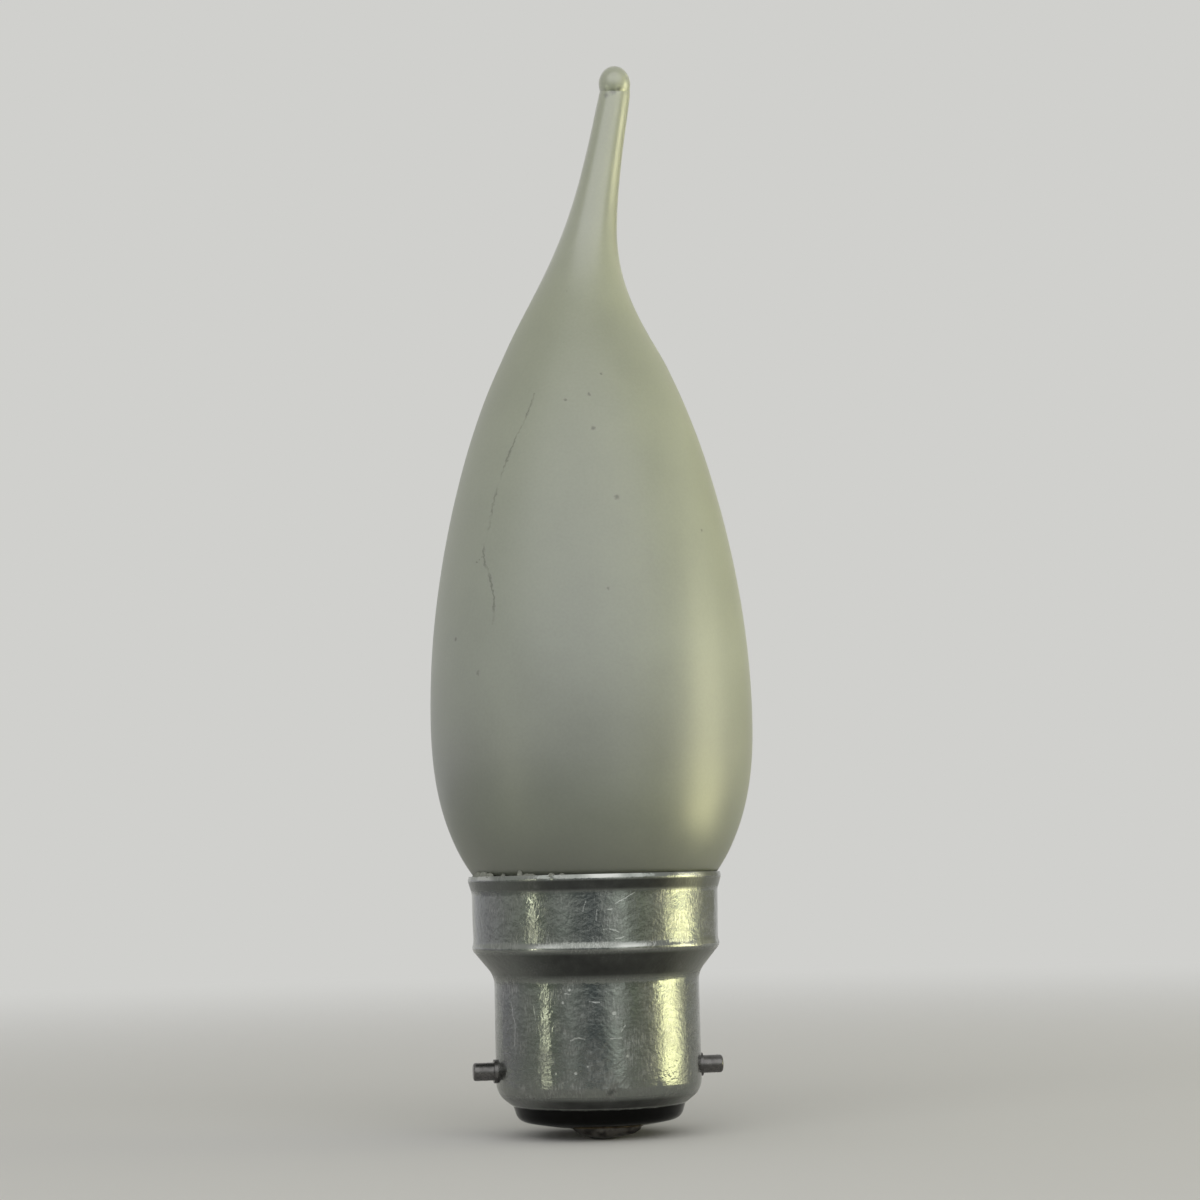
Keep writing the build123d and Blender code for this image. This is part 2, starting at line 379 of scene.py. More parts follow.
def pressIn(piece, place, outward, spread, depth):
    for share in cap["pressSteps"]:
        onlySelect(piece)
        bpy.ops.object.mode_set(mode="EDIT")
        bpy.ops.mesh.select_mode(type="VERT")
        bpy.ops.mesh.select_all(action="DESELECT")
        bpy.ops.object.mode_set(mode="OBJECT")
        for vertex in piece.data.vertices:
            away = vertex.co - place * mm
            across = away - outward * away.dot(outward)
            vertex.select = vertex.co.dot(outward) > 0 and across.length < share * spread * mm
        bpy.ops.object.mode_set(mode="EDIT")
        bpy.ops.transform.translate(value=-outward * depth * mm / len(cap["pressSteps"]))
        bpy.ops.object.mode_set(mode="OBJECT")


capSheet = makeCap()


# Solder: a lump on each contact, flattened where it was dabbed on
solder = {
    "half": (3.75, 2.2, 1.3), "pitch": 9.4, "face": -5.75, "segments": 64, "rings": 40,
    "lump": 0.35, "lumpSize": 2.2, "lumpMiddle": 0.62, "creaseAngle": 50,
    "sides": (("front", -1), ("rear", 1)),
}


def makeSolder(sideName, side):
    deselectAll()
    place = Vector((0, side * solder["pitch"] / 2, solder["face"]))
    bpy.ops.mesh.primitive_uv_sphere_add(segments=solder["segments"], ring_count=solder["rings"], radius=mm,
                                         location=place * mm)
    piece = bpy.context.object
    bpy.ops.object.mode_set(mode="EDIT")
    bpy.ops.mesh.select_all(action="SELECT")
    bpy.ops.transform.resize(value=solder["half"], center_override=place * mm)
    bpy.ops.mesh.bisect(plane_co=place * mm, plane_no=(0, 0, 1), use_fill=True, clear_outer=True)
    bpy.ops.object.mode_set(mode="OBJECT")
    placeInMesh(piece, "solder_lump_" + sideName)
    displaceByClouds(piece, "solder lumps " + sideName, solder["lumpSize"], solder["lump"],
                     solder["lumpMiddle"])
    bpy.ops.object.shade_smooth_by_angle(angle=math.radians(solder["creaseAngle"]))
    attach(piece, "root")
    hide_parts("solder_" + sideName)
    print("solder lump", sideName)
    return piece


solderLumps = [makeSolder(sideName, side) for sideName, side in solder["sides"]]


# Crumbs of capping cement squeezed out at the mouth, at the left
crumbs = {
    "seed": 7, "subdivisions": 3, "creaseAngle": 40,
    "places": ((-170, 0.9, 0.42), (-165, 1.0, 0.6), (-159, 1.0, 0.62), (-154, 0.8, 0.45), (-144, 0.3, 0.36),
               (-134, 0.34, 0.72), (-129, 0.9, 0.3), (-118, 0.4, 0.32),
               (-113, 0.35, 0.24)),  # degrees round, length, height
    "radius": 13.36, "sink": 0.1, "thick": 0.2, "rough": 0.05, "outwardShare": 0.6,
}


def makeCrumbs():
    random.seed(crumbs["seed"])
    bits = []
    for angle, length, height in crumbs["places"]:
        deselectAll()
        turn = math.radians(angle)
        place = Vector((math.cos(turn), math.sin(turn), 0)) * crumbs["radius"]
        place.z = mouth - crumbs["sink"]
        bpy.ops.mesh.primitive_ico_sphere_add(subdivisions=crumbs["subdivisions"], radius=mm,
                                              location=place * mm)
        bit = bpy.context.object
        bpy.ops.object.mode_set(mode="EDIT")
        bpy.ops.transform.resize(value=(crumbs["thick"], length, height), center_override=place * mm)
        bpy.ops.transform.vertex_random(offset=crumbs["rough"] * mm, uniform=0.0,
                                        normal=crumbs["outwardShare"], seed=random.randint(0, 999))
        bpy.ops.transform.rotate(value=-turn, orient_axis="Z", center_override=place * mm)
        bpy.ops.object.mode_set(mode="OBJECT")
        bits.append(bit)
    deselectAll()
    for bit in bits:
        bit.select_set(True)
    bpy.context.view_layer.objects.active = bits[0]
    bpy.ops.object.join()
    placeInMesh(bits[0], "cement_crumbs")
    bpy.ops.object.shade_smooth_by_angle(angle=math.radians(crumbs["creaseAngle"]))
    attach(bits[0], "root")
    print("cement crumbs:", len(crumbs["places"]))
    return bits[0]


cementCrumbs = makeCrumbs()


noiseSpan = (0.3, 0.7)  # what a noise texture mostly covers
noiseMiddle = (0.5, 0.5, 0.5)


# Satin lamp glass, etched to an even tooth: soft broad highlights on a pale body, with painted shade darker
# down towards the cap
satin = {
    "tones": ((0.0, "#676A5F"), (0.06, "#777B6F"), (0.14, "#8A8D84"), (0.26, "#969A8F"), (0.48, "#999D8D"),
              (0.62, "#999D89"), (0.69, "#9CA08A"), (0.76, "#999D87"), (0.82, "#959982"),
              (1.0, "#999D85")),  # from the cap's mouth up to the tip, the low stops darkened as painted shade
    "mottleSize": 7.0, "mottle": (0.95, 1.05),
    "grainSize": 0.3, "grain": (0.975, 1.025),  # real etching is finer, drawn as coarse as it needs to show
    "tooth": 0.12, "toothDepth": 0.03,
    "roughness": (0.34, 0.42), "ior": 1.52, "specular": 1.0,
    "glossFrom": 76.0, "glossTo": 92.0, "glossShare": 0.85,  # the tail, drawn in the flame, is smoother
    "coatFrom": 82.0, "coatTo": 92.0, "coatRoughness": 0.29, "coatIor": 1.8,
    "scatter": 0.3, "scatterDepth": 4.0, "scatterTint": (1.0, 1.0, 0.85),
    "hairline": ((46.6, -11.9), (48.9, -11.7), (51.7, -12.0), (54.2, -12.45), (57.4, -11.75), (59.4, -11.35),
                 (62.2, -10.5), (64.7, -9.6), (66.3, -8.95), (69.0, -7.6), (71.6, -6.6)),  # height, sideways
    "hairlineWidth": 0.14, "hairlineBreak": 2.2, "hairlineGaps": (0.36, 0.56),
    "markAndShadeColour": "#3E4038", "markAndShadeDepth": 0.58,
    "specksAndFoldShade": ((-2.3, -5.0, 83.7, 0.14), (-3.2, -8.1, 77.4, 0.12), (0.4, -10.4, 73.5, 0.2),
               (-1.1, -11.4, 71.1, 0.26), (-3.6, -11.0, 70.5, 0.24), (-0.95, -12.7, 67.2, 0.32),
               (1.05, -14.8, 59.6, 0.36), (10.6, -11.2, 56.5, 0.24), (-0.4, -16.6, 49.8, 0.2),
               (-15.3, -7.5, 45.5, 0.3), (-13.5, -11.0, 41.7, 0.35), (-12.65, -9.75, 54.0, 0.13),
               (-12.9, -9.45, 53.75, 0.12), (-13.15, -9.15, 53.45, 0.12),  # place, radius
               (3.23, -1.41, 106.75, 0.42), (3.87, -1.69, 107.1, 0.5),
               (4.54, -1.75, 107.45, 0.4)),  # these three are painted shade in the fold under the bead
    "speckCore": 0.3, "speckStir": 0.4,
}


def satinGlass():
    material, tree, shader, coords = newMaterial("acid-etched satin glass")
    axes = addNode(tree, "SeparateXYZ", {"Vector": coords}).outputs
    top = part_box("glass_bulb")[1].z
    rise = addNode(tree, "MapRange", {"Value": axes["Z"], "From": (mouth * mm, top)})
    # the body's tone, with painted shade darker towards the cap's mouth
    toneAndShade = addNode(tree, "ValToRGB", {"Fac": rise})
    rampStops(toneAndShade, satin["tones"])
    mottle = addNode(tree, "TexNoise", {"Vector": coords, "Scale": perSize(satin["mottleSize"]),
                                        "Detail": 3.0})
    grain = addNode(tree, "TexNoise", {"Vector": coords, "Scale": perSize(satin["grainSize"]), "Detail": 1.0})
    mottled = addNode(tree, "MapRange", {"Value": mottle, "From": noiseSpan, "To": satin["mottle"]})
    grained = addNode(tree, "MapRange", {"Value": grain, "From": noiseSpan, "To": satin["grain"]})
    uneven = addNode(tree, "Math", {0: mottled, 1: grained}, operation="MULTIPLY")
    body = addNode(tree, "VectorMath", {0: toneAndShade, "Scale": uneven}, operation="SCALE")

    # places stirred a little, so that no mark is drawn too cleanly
    stir = addNode(tree, "TexNoise", {"Vector": coords, "Scale": perSize(satin["speckStir"]), "Detail": 1.0})
    stirred = addNode(tree, "VectorMath", {0: stir.outputs["Color"], 1: noiseMiddle}, operation="SUBTRACT")
    shift = addNode(tree, "VectorMath", {0: stirred, "Scale": satin["speckStir"] * mm}, operation="SCALE")
    uneasy = addNode(tree, "VectorMath", {0: coords, 1: shift}, operation="ADD")
    uneasyAxes = addNode(tree, "SeparateXYZ", {"Vector": uneasy}).outputs

    # hairline mark down the front left, broken here and there
    low, high = satin["hairline"][0][0], satin["hairline"][-1][0]
    sideways = [x for z, x in satin["hairline"]]
    farLeft, farRight = min(sideways), max(sideways)
    down = addNode(tree, "MapRange", {"Value": axes["Z"], "From": (low * mm, high * mm)})
    path = addNode(tree, "FloatCurve", {"Value": down})
    points = path.mapping.curves[0].points
    for z, x in satin["hairline"]:
        place = ((z - low) / (high - low), (x - farLeft) / (farRight - farLeft))
        if z == low:
            points[0].location = place
        elif z == high:
            points[-1].location = place
        else:
            points.new(*place)
    path.mapping.update()
    across = addNode(tree, "MapRange", {"Value": path, "To": (farLeft * mm, farRight * mm)})
    aside = addNode(tree, "Math", {0: uneasyAxes["X"], 1: across}, operation="SUBTRACT")
    apart = addNode(tree, "Math", {0: aside}, operation="ABSOLUTE")
    line = addNode(tree, "MapRange", {"Value": apart, "From": (satin["hairlineWidth"] * mm, 0.0)})
    breaks = addNode(tree, "TexNoise", {"Vector": coords, "Scale": perSize(satin["hairlineBreak"]),
                                        "Detail": 2.0})
    broken = addNode(tree, "MapRange", {"Value": breaks, "From": satin["hairlineGaps"]})
    front = addNode(tree, "Math", {0: axes["Y"], 1: 0.0}, operation="LESS_THAN")
    aboveLow = addNode(tree, "Math", {0: axes["Z"], 1: low * mm}, operation="GREATER_THAN")
    belowHigh = addNode(tree, "Math", {0: axes["Z"], 1: high * mm}, operation="LESS_THAN")
    marks = line
    for share in (broken, front, aboveLow, belowHigh):
        marks = addNode(tree, "Math", {0: marks, 1: share}, operation="MULTIPLY")

    # specks, with uneven outlines; the last three are painted shade in the fold under the bead
    for x, y, z, size in satin["specksAndFoldShade"]:
        centre = (x * mm, y * mm, z * mm)
        far = addNode(tree, "VectorMath", {0: uneasy, 1: centre}, operation="DISTANCE")
        spot = addNode(tree, "MapRange", {"Value": far, "From": (size * mm, satin["speckCore"] * size * mm)})
        marks = addNode(tree, "Math", {0: marks, 1: spot}, operation="MAXIMUM")
    # the marks and the painted fold shade darken the body's colour
    markedAndShaded = addNode(tree, "Math", {0: marks, 1: satin["markAndShadeDepth"]}, operation="MULTIPLY")
    colour = addNode(tree, "Mix", {0: markedAndShaded, 6: body, 7: hexColour(satin["markAndShadeColour"])}, data_type="RGBA")

    sheen = addNode(tree, "MapRange", {"Value": mottle, "From": noiseSpan, "To": satin["roughness"]})
    drawnSpan = (satin["glossFrom"] * mm, satin["glossTo"] * mm)
    drawn = addNode(tree, "MapRange", {"Value": axes["Z"], "From": drawnSpan,
                                       "To": (1.0, satin["glossShare"])})
    gloss = addNode(tree, "Math", {0: sheen, 1: drawn}, operation="MULTIPLY")
    flamed = addNode(tree, "MapRange", {"Value": axes["Z"],
                                        "From": (satin["coatFrom"] * mm, satin["coatTo"] * mm)})
    tooth = addNode(tree, "Bump", {"Height": grain, "Strength": satin["tooth"],
                                   "Distance": satin["toothDepth"] * mm})
    feed(tree, shader, {
        "Base Color": colour, "Roughness": gloss, "Normal": tooth, "Coat Weight": flamed,
        "Coat Roughness": satin["coatRoughness"], "Coat IOR": satin["coatIor"], "IOR": satin["ior"],
        "Specular IOR Level": satin["specular"], "Subsurface Weight": satin["scatter"],
        "Subsurface Radius": satin["scatterTint"], "Subsurface Scale": satin["scatterDepth"] * mm,
    })
    return material


# Drawn aluminium, handled for years: a dark mirror, pale with scuffs of all directions, with painted shade in
# the hollows
aluminium = {
    "bright": "#888C87", "dull": "#5A5D59", "shadeAndPitColour": "#232422", "fleck": "#BEC0BC", "rubbedHighlight": "#B4B6B2",
    "roughness": (0.12, 0.27),
    "pull": 0.6, "pullTurn": 0.25,  # drawn marks run round, so highlights run up and down
    "patchSize": 2.0, "wornSpan": (0.35, 0.68),
    "dingSize": 0.8, "dingDepth": 0.06, "dingStrength": 0.5,
    "peelSize": 0.3, "peelDepth": 0.022, "peelStrength": 0.8,
    "scuffSize": 0.16, "scuffStretch": 5.0, "scuffDepth": 0.02, "scuffStrength": 0.5,
    "scuffLays": ((0.5, 0.4, 0.0), (-0.8, 0.3, 0.6), (0.2, 1.3, 0.3)),  # turns of the scuffs
    "strokeSpan": (0.5, 0.66), "strokeFloor": 0.5, "strokeShare": 0.65, "patchShare": 0.35, "paleShare": 0.55,
    "collarRadius": 13.2, "collarFrom": 12.0, "barrelRadius": 11.0,  # where the marks are drawn on
    "scratchWidth": 0.1, "scratchStir": 0.3, "scratchPale": 0.9,
    "scratches": (((-153.7, 7.5), (-152.1, 6.0), (-150.4, 5.2), (-151.6, 2.9)),
                  ((-135.9, 7.2), (-134.5, 5.7)), ((-113.6, 3.65), (-109.2, 3.93), (-105.7, 3.71)),
                  ((-102.6, 7.57), (-97.6, 7.54)),
                  ((-116.1, 8.4), (-112.9, 8.4)), ((-91.7, 3.8), (-86.2, 3.77)), ((-85.8, 4.5), (-83.8, 5.0)),
                  ((-103.2, 17.9), (-104.5, 16.9)), ((-98.1, 17.1), (-98.5, 15.9)),
                  ((-90.1, 17.6), (-85.8, 18.1), (-81.1, 18.7)), ((-93.8, 17.0), (-91.1, 17.0)),
                  ((-94.9, 14.95), (-92.8, 15.1), (-88.3, 14.7)),
                  ((-89.3, 14.0), (-85.9, 14.15))),  # degrees, level
    "chips": ((-113.5, 8.8, 0.2), (-117.6, 7.5, 0.17), (-111.2, 0.3, 0.18), (-122.3, 0.25, 0.14),
              (-104.4, 1.0, 0.14), (-89.7, 6.3, 0.26), (-82.8, 1.9, 0.14)),  # degrees, level, radius
    "chipCore": 0.4,
    "rubsAndHighlights": ((12.7, "#000000"), (12.95, "#FFFFFF"), (13.25, "#FFFFFF"), (13.6, "#000000"), (20.1, "#000000"),
             (20.3, "#FFFFFF"), (20.65, "#FFFFFF")),  # level, and how bright it is rubbed, partly a painted highlight line
    "rubSize": 4.5, "rubSpan": (0.44, 0.62),
    "shadedHollows": ((-3.72, "#000000"), (-3.6, "#101010"), (-3.45, "#FFFFFF"), (-2.75, "#FFFFFF"),
                (-2.2, "#000000"), (9.5, "#000000"), (10.3, "#FFFFFF"), (12.4, "#FFFFFF"),
                (12.85, "#000000"), (18.75, "#000000"), (19.2, "#FFFFFF"), (20.0, "#FFFFFF"),
                (20.2, "#000000")),  # level, and how dark the painted shade is
    "shadeThin": 0.86, "shadeRough": 0.5, "shadeMetal": 0.3,
    "shadeFront": (-0.88, -0.6), "shadeAside": 0.5,  # the painted shade is thinner at the sides and back
    "pits": ((-157.0, 13.6, 20.0, 0.6, 0.15), (-119.0, 11.0, 3.1, 0.2, 0.22),
             (-91.5, 11.0, -1.7, 0.6, 0.45)),  # degrees, sheet radius, level, half length, half height
    "pitDepth": 0.6, "pitCore": 0.5,
}


def drawnAluminium():
    material, tree, shader, coords = newMaterial("drawn aluminium, handled")
    axes = addNode(tree, "SeparateXYZ", {"Vector": coords}).outputs
    patch = addNode(tree, "TexNoise", {"Vector": coords, "Scale": perSize(aluminium["patchSize"]),
                                       "Detail": 4.0})
    scuffs = addNode(tree, "MapRange", {"Value": patch, "From": aluminium["wornSpan"]})
    strokes = aluminium["strokeFloor"]
    stretch = (1.0, 1.0, 1 / aluminium["scuffStretch"])
    for turns in aluminium["scuffLays"]:
        lay = addNode(tree, "Mapping", {"Vector": coords, "Rotation": turns, "Scale": stretch})
        streak = addNode(tree, "TexNoise", {"Vector": lay, "Scale": perSize(aluminium["scuffSize"]),
                                            "Detail": 1.0})
        thin = addNode(tree, "MapRange", {"Value": streak, "From": aluminium["strokeSpan"]})
        strokes = addNode(tree, "Math", {0: thin, 1: strokes}, operation="MAXIMUM")
    mixed = addNode(tree, "Math", {0: scuffs, 1: strokes}, operation="MULTIPLY")
    scuffed = addNode(tree, "Math", {0: mixed, 1: aluminium["strokeShare"]}, operation="MULTIPLY")
    dulled = addNode(tree, "Math", {0: scuffs, 1: aluminium["patchShare"], 2: scuffed},
                     operation="MULTIPLY_ADD")
    skin = addNode(tree, "Mix", {0: scuffs, 6: hexColour(aluminium["bright"]),
                                 7: hexColour(aluminium["dull"])}, data_type="RGBA")

    # scratches and chips, drawn on the sheet as if unrolled: length round and level
    turn = addNode(tree, "Math", {0: axes["Y"], 1: axes["X"]}, operation="ARCTAN2")
    reach = addNode(tree, "CombineXYZ", {"X": axes["X"], "Y": axes["Y"]})
    radius = addNode(tree, "VectorMath", {0: reach}, operation="LENGTH")
    around = addNode(tree, "Math", {0: turn, 1: radius}, operation="MULTIPLY")
    unrolled = addNode(tree, "CombineXYZ", {"X": around, "Z": axes["Z"]})
    stirScale = perSize(2 * aluminium["scratchStir"])
    stir = addNode(tree, "TexNoise", {"Vector": coords, "Scale": stirScale, "Detail": 2.0})
    stirred = addNode(tree, "VectorMath", {0: stir.outputs["Color"], 1: noiseMiddle}, operation="SUBTRACT")
    uneasy = addNode(tree, "VectorMath", {0: stirred, 1: (aluminium["scratchStir"] * mm,) * 3, 2: unrolled},
                     operation="MULTIPLY_ADD")
    lines = None
    for points in aluminium["scratches"]:
        onCollar = points[0][1] > aluminium["collarFrom"]
        sheetRadius = aluminium["collarRadius" if onCollar else "barrelRadius"]
        flat = [Vector((math.radians(angle) * sheetRadius, 0, z)) * mm for angle, z in points]
        for start, end in zip(flat, flat[1:]):
            run = end - start
            fromStart = addNode(tree, "VectorMath", {0: uneasy, 1: start}, operation="SUBTRACT")
            along = addNode(tree, "VectorMath", {0: fromStart, 1: run / run.length_squared},
                            operation="DOT_PRODUCT")
            share = addNode(tree, "Clamp", {"Value": along})
            foot = addNode(tree, "VectorMath", {0: run, "Scale": share}, operation="SCALE")
            far = addNode(tree, "VectorMath", {0: fromStart, 1: foot}, operation="DISTANCE")
            lines = addNode(tree, "Math", {0: lines, 1: far}, operation="MINIMUM") if lines else far
    marks = addNode(tree, "MapRange", {"Value": lines, "From": (aluminium["scratchWidth"] * mm, 0.0),
                                       "To": (0.0, aluminium["scratchPale"])})
    for angle, z, size in aluminium["chips"]:
        place = Vector((math.radians(angle) * aluminium["barrelRadius"], 0, z)) * mm
        far = addNode(tree, "VectorMath", {0: uneasy, 1: place}, operation="DISTANCE")
        chip = addNode(tree, "MapRange", {"Value": far,
                                          "From": (size * mm, aluminium["chipCore"] * size * mm)})
        marks = addNode(tree, "Math", {0: marks, 1: chip}, operation="MAXIMUM")
    pale = addNode(tree, "Math", {0: mixed, 1: aluminium["paleShare"], 2: marks}, operation="MULTIPLY_ADD",
                   use_clamp=True)
    scratched = addNode(tree, "Mix", {0: pale, 6: skin, 7: hexColour(aluminium["fleck"])}, data_type="RGBA")

    # edges rubbed bright, partly painted highlight lines along the rim and the collar's bead
    rubAndHighlight = rampAlong(tree, axes["Z"], aluminium["rubsAndHighlights"], mm)
    handled = addNode(tree, "TexNoise", {"Vector": coords, "Scale": perSize(aluminium["rubSize"]),
                                         "Detail": 2.0})
    uneven = addNode(tree, "MapRange", {"Value": handled, "From": aluminium["rubSpan"]})
    rubbingAndHighlight = addNode(tree, "Math", {0: rubAndHighlight, 1: uneven}, operation="MULTIPLY")
    rubbedHighlight = addNode(tree, "Mix", {0: rubbingAndHighlight, 6: scratched, 7: hexColour(aluminium["rubbedHighlight"])},
                     data_type="RGBA")

    # painted shade where the sheet turns in, heavier at the front, and dark pits
    hollowShade = rampAlong(tree, axes["Z"], aluminium["shadedHollows"], mm)
    unevenShade = addNode(tree, "MapRange", {"Value": patch, "From": noiseSpan,
                                        "To": (1.0, aluminium["shadeThin"])})
    frontShare = addNode(tree, "Math", {0: axes["Y"], 1: radius}, operation="DIVIDE")
    facing = addNode(tree, "MapRange", {"Value": frontShare, "From": aluminium["shadeFront"],
                                        "To": (1.0, aluminium["shadeAside"])})
    spreadShade = addNode(tree, "Math", {0: unevenShade, 1: facing}, operation="MULTIPLY")
    shadeAndPits = addNode(tree, "Math", {0: hollowShade, 1: spreadShade}, operation="MULTIPLY")
    for angle, sheetRadius, z, halfLength, halfHeight in aluminium["pits"]:
        place = Vector((math.radians(angle) * sheetRadius, 0, z)) * mm
        offset = addNode(tree, "VectorMath", {0: uneasy, 1: place}, operation="SUBTRACT")
        perHalf = (perSize(halfLength), 0, perSize(halfHeight))
        share = addNode(tree, "VectorMath", {0: offset, 1: perHalf}, operation="MULTIPLY")
        far = addNode(tree, "VectorMath", {0: share}, operation="LENGTH")
        pit = addNode(tree, "MapRange", {"Value": far, "From": (1.0, aluminium["pitCore"]),
                                         "To": (0.0, aluminium["pitDepth"])})
        shadeAndPits = addNode(tree, "Math", {0: shadeAndPits, 1: pit}, operation="MAXIMUM")
    # the painted shade and the pits take the dark colour
    colour = addNode(tree, "Mix", {0: shadeAndPits, 6: rubbedHighlight, 7: hexColour(aluminium["shadeAndPitColour"])}, data_type="RGBA")

    rough = addNode(tree, "Math", {0: dulled, 1: marks}, operation="MAXIMUM")
    gloss = addNode(tree, "MapRange", {"Value": rough, "To": aluminium["roughness"]})
    matt = addNode(tree, "Mix", {0: shadeAndPits, 2: gloss, 3: aluminium["shadeRough"]})
    bare = addNode(tree, "MapRange", {"Value": shadeAndPits, "To": (1.0, aluminium["shadeMetal"])})
    dings = addNode(tree, "TexNoise", {"Vector": coords, "Scale": perSize(aluminium["dingSize"]),
                                       "Detail": 1.0})
    peel = addNode(tree, "TexNoise", {"Vector": coords, "Scale": perSize(aluminium["peelSize"]),
                                      "Detail": 1.0})
    dented = addNode(tree, "Bump", {"Height": dings, "Strength": aluminium["dingStrength"],
                                    "Distance": aluminium["dingDepth"] * mm})
    peeled = addNode(tree, "Bump", {"Height": peel, "Strength": aluminium["peelStrength"],
                                    "Distance": aluminium["peelDepth"] * mm, "Normal": dented})
    scored = addNode(tree, "Bump", {"Height": rough, "Strength": aluminium["scuffStrength"],
                                    "Distance": aluminium["scuffDepth"] * mm, "Normal": peeled}, invert=True)
    tangent = addNode(tree, "Tangent", direction_type="RADIAL", axis="Z")
    feed(tree, shader, {
        "Base Color": colour, "Roughness": matt, "Metallic": bare, "Normal": scored, "Tangent": tangent,
        "Anisotropic": aluminium["pull"], "Anisotropic Rotation": aluminium["pullTurn"],
    })
    return material


# Plain rough or dull finishes: two tones broken by grain of a real size, with a bump of the same grain
finishes = {
    # cut and worn wire: a soft grey glint
    "pin_metal": {"name": "dull turned pin wire", "tones": ("#6E6D6C", "#5B5A59"), "grain": 0.9,
                  "metallic": 1.0, "roughness": (0.24, 0.34), "relief": 0.01, "specular": 0.5},
    # pressed smooth: deep black with small clear lights
    "black_glass": {"name": "black pressed glass", "tones": ("#030303", "#060605"), "grain": 1.6,
                    "metallic": 0.0, "roughness": (0.12, 0.22), "relief": 0.03, "specular": 0.1},
    # tarnish over rolled plate: brown, with weak warm lights
    "contact_brass": {"name": "tarnished brass plate", "tones": ("#4E4536", "#352D24"), "grain": 0.6,
                      "metallic": 1.0, "roughness": (0.35, 0.5), "relief": 0.02, "specular": 0.5},
    # an oxide skin on lumps: grey, with broken lights
    "solder": {"name": "oxidised solder", "tones": ("#6C6965", "#3B3937"), "grain": 0.9,
               "metallic": 1.0, "roughness": (0.32, 0.5), "relief": 0.08, "specular": 0.5},
    # baked rough: pale and without shine
    "cement": {"name": "baked capping cement", "tones": ("#91938A", "#7B7D74"), "grain": 0.35,
               "metallic": 0.0, "roughness": (0.75, 0.9), "relief": 0.03, "specular": 0.5},
    # drawn bare: thin warm lines of light
    "lead_wire": {"name": "bare copper-clad wire", "tones": ("#B98B6A", "#8C6447"), "grain": 0.3,
                  "metallic": 1.0, "roughness": (0.3, 0.42), "relief": 0.01, "specular": 0.5},
}
toneStops = (0.38, 0.64)  # where on the grain the two tones stand
reliefStrength = 0.4


def grainedFinish(finish):
    material, tree, shader, coords = newMaterial(finish["name"])
    grain = addNode(tree, "TexNoise", {"Vector": coords, "Scale": perSize(finish["grain"]), "Detail": 4.0})
    tones = addNode(tree, "ValToRGB", {"Fac": grain})
    rampStops(tones, list(zip(toneStops, finish["tones"])))
    gloss = addNode(tree, "MapRange", {"Value": grain, "From": noiseSpan, "To": finish["roughness"]})
    relief = addNode(tree, "Bump", {"Height": grain, "Strength": reliefStrength,
                                    "Distance": finish["relief"] * mm})
    feed(tree, shader, {
        "Base Color": tones, "Roughness": gloss, "Normal": relief,
        "Metallic": finish["metallic"], "Specular IOR Level": finish["specular"],
    })
    return material


def dress(piece, material):
    piece.data.materials.clear()
    piece.data.materials.append(material)


materials = {slot: grainedFinish(finish) for slot, finish in finishes.items()}
materials["frosted_glass"] = satinGlass()
materials["cap_metal"] = drawnAluminium()
for part in frame["record"]["subparts"]:
    nodes[part["node"]].material_slots[0].material = materials[part["material_slot"]]
dress(glassEnvelope, materials["frosted_glass"])
dress(capSheet, materials["cap_metal"])
for lump in solderLumps:
    dress(lump, materials["solder"])
dress(cementCrumbs, materials["cement"])
print("materials:", len(materials))


# Stage: a pale floor under the contacts, running out into an even pale backdrop. Its lengths are in metres
stage = {
    "floor": "#DEDDDA", "backdrop": "#D0D0CD", "ambient": 0.72,
    "vertices": 96, "reach": 3.0, "fadeFrom": 0.05, "fadeTo": 0.45,
}

# What the metal mirrors, unseen by the camera: cards lying round the lamp, a low one standing round them,
# and a taller flag behind at the right. Their lengths are in metres too
surround = {
    "vertices": 128, "lift": 0.0005,
    "cards": {
        "lying_card": {"near": 0.073, "far": 0.42, "tall": 0.0, "reach": (-112, 112), "glow": 5.6},
        "lying_back_card": {"near": 0.115, "far": 0.42, "tall": 0.0, "reach": (-132, -112), "glow": 5.6},
        "standing_card": {"near": 0.42, "far": 0.42, "tall": 0.06, "reach": (-150, 72), "glow": 10.8},
        "flag_card": {"near": 0.42, "far": 0.42, "tall": 0.25, "reach": (108, 150), "glow": 5.6},
    },  # reach in degrees from the camera
    "tones": ((-150, "#434346"), (-112, "#454447"), (-85, "#434442"), (-60.9, "#3E413A"), (-59.3, "#BDBDA6"),
              (-57, "#BDBDA6"), (-55, "#3E413A"), (-38, "#3B3D3B"), (-28, "#4C4E4C"), (-20, "#3A3C3B"),
              (-4, "#2A2D2F"), (8, "#313434"), (22, "#686B67"), (33, "#3F413C"), (42, "#3E4039"),
              (56, "#48483F"), (68, "#6A685A"), (77, "#FBF7C1"), (94, "#FBF7C1"), (104, "#9C9A82"),
              (116, "#5C5B50"), (150, "#454540")),  # degrees from the camera
}


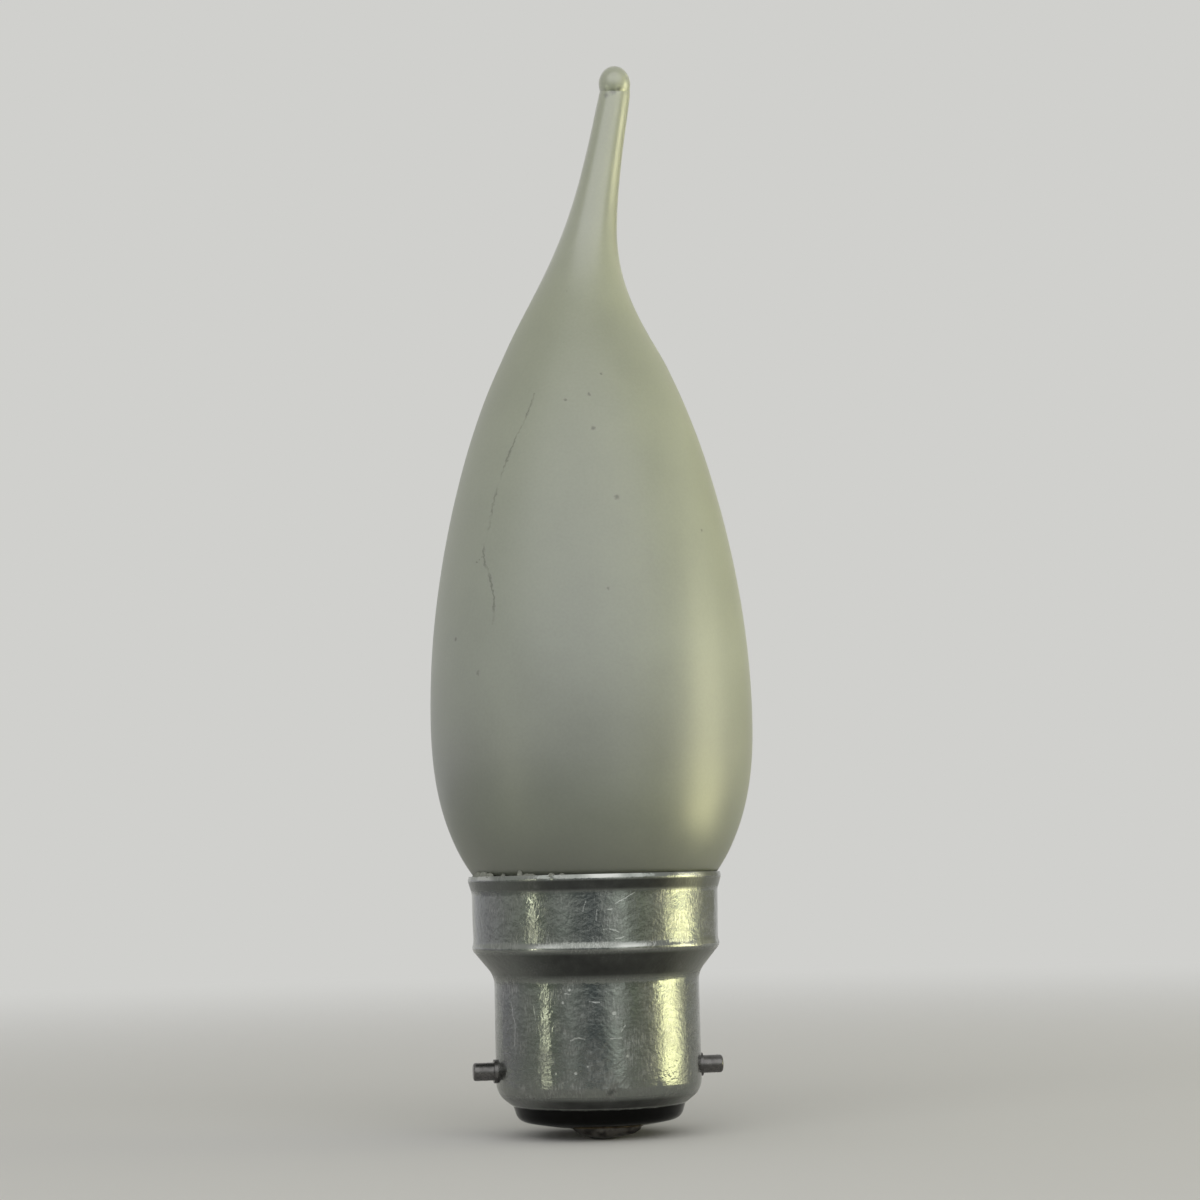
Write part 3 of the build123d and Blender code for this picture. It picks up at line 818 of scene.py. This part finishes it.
def makeStage():
    deselectAll()
    bpy.ops.mesh.primitive_circle_add(vertices=stage["vertices"], radius=stage["reach"], fill_type="NGON",
                                      location=(0, 0, cadBox[0].z))
    floor = bpy.context.object
    floor.name = "floor"
    material = bpy.data.materials.new("pale paper sweep")
    tree = emptyTree(material)
    coords = addNode(tree, "TexCoord").outputs["Object"]
    away = addNode(tree, "VectorMath", {0: coords}, operation="LENGTH")
    fade = addNode(tree, "MapRange", {"Value": away, "From": (stage["fadeFrom"], stage["fadeTo"])},
                   interpolation_type="SMOOTHSTEP")
    paper = addNode(tree, "BsdfDiffuse", {"Color": hexColour(stage["floor"])})
    seen = seenShare(tree)
    glow = addNode(tree, "Emission", {"Color": hexColour(stage["backdrop"]), "Strength": seen})
    mix = addNode(tree, "MixShader", {0: fade, 1: paper, 2: glow})
    addNode(tree, "OutputMaterial", {"Surface": mix})
    dress(floor, material)
    world = bpy.data.worlds.new("pale studio")
    scene.world = world
    tree = emptyTree(world)
    seen = seenShare(tree)
    backdrop = addNode(tree, "Background", {"Color": hexColour(stage["backdrop"]), "Strength": seen})
    addNode(tree, "OutputWorld", {"Surface": backdrop})
    for name, card in surround["cards"].items():
        makeCard(name, card)
    print("stage set")


def makeCard(name, size):
    deselectAll()
    bpy.ops.mesh.primitive_circle_add(vertices=surround["vertices"], radius=size["near"],
                                      location=(0, 0, cadBox[0].z + surround["lift"]))
    card = bpy.context.object
    card.name = name
    widen = size["far"] / size["near"]
    bpy.ops.object.mode_set(mode="EDIT")
    bpy.ops.mesh.select_all(action="SELECT")
    bpy.ops.mesh.extrude_region_move(TRANSFORM_OT_translate={"value": (0, 0, size["tall"])})
    bpy.ops.transform.resize(value=(widen, widen, 1.0))
    bpy.ops.object.mode_set(mode="OBJECT")
    card.visible_camera = False
    material = bpy.data.materials.new("grey card " + name)
    tree = emptyTree(material)
    coords = addNode(tree, "TexCoord").outputs["Object"]
    aside = addNode(tree, "VectorMath", {0: coords, 1: right}, operation="DOT_PRODUCT")
    ahead = addNode(tree, "VectorMath", {0: coords, 1: -level}, operation="DOT_PRODUCT")
    turn = addNode(tree, "Math", {0: aside, 1: ahead}, operation="ARCTAN2")
    tones = rampAlong(tree, turn, surround["tones"], math.radians(1))
    first, last = (math.radians(angle) for angle in size["reach"])
    after = addNode(tree, "Math", {0: turn, 1: first}, operation="GREATER_THAN")
    before = addNode(tree, "Math", {0: turn, 1: last}, operation="LESS_THAN")
    within = addNode(tree, "Math", {0: after, 1: before}, operation="MULTIPLY")
    behind = addNode(tree, "NewGeometry").outputs["Backfacing"]  # nothing of it falls on the floor below
    there = addNode(tree, "Math", {0: within, 1: behind}, operation="GREATER_THAN")
    glow = addNode(tree, "Emission", {"Color": tones, "Strength": size["glow"]})
    gone = addNode(tree, "BsdfTransparent")
    mix = addNode(tree, "MixShader", {0: there, 1: gone, 2: glow})
    addNode(tree, "OutputMaterial", {"Surface": mix})
    dress(card, material)


def seenShare(tree):
    # full strength where the camera, gloss or glass sees the backdrop, less where it only lights things
    path = addNode(tree, "LightPath").outputs
    glossy = addNode(tree, "Math", {0: path["Is Camera Ray"], 1: path["Is Glossy Ray"]}, operation="MAXIMUM")
    direct = addNode(tree, "Math", {0: glossy, 1: path["Is Transmission Ray"]}, operation="MAXIMUM")
    return addNode(tree, "MapRange", {"Value": direct, "To": (stage["ambient"], 1.0)})


makeStage()


# Soft boxes, placed by degrees round from the camera, degrees up, and metres away
lamps = {
    "rightBox": {"round": 88.5, "up": 6.4, "away": 0.8, "wide": 0.42, "tall": 0.28,
                 "watts": 0.92, "tint": "#FFFBC8"},
    "topBox": {"round": 0, "up": 36, "away": 1.0, "wide": 2.4, "tall": 1.1,
               "watts": 5.4, "tint": "#FFFFFF"},
}
lampAim = Vector((0, 0, 0.045))


def makeLamp(name, lamp):
    turn = math.radians(lamp["round"])
    up = math.radians(lamp["up"])
    flat = -level * math.cos(turn) + right * math.sin(turn)
    place = lampAim + (flat * math.cos(up) + Vector((0, 0, math.sin(up)))) * lamp["away"]
    deselectAll()
    bpy.ops.object.light_add(type="AREA", location=place)
    box = bpy.context.object
    box.name = name
    box.data.shape = "ELLIPSE"
    box.data.size = lamp["wide"]
    box.data.size_y = lamp["tall"]
    box.data.energy = lamp["watts"]
    box.data.color = hexColour(lamp["tint"])[:3]
    box.rotation_euler = (lampAim - place).to_track_quat("-Z", "Y").to_euler()
    box.visible_camera = False


for name, lamp in lamps.items():
    makeLamp(name, lamp)
print("lamps:", len(lamps))

scene.view_settings.view_transform = "Standard"
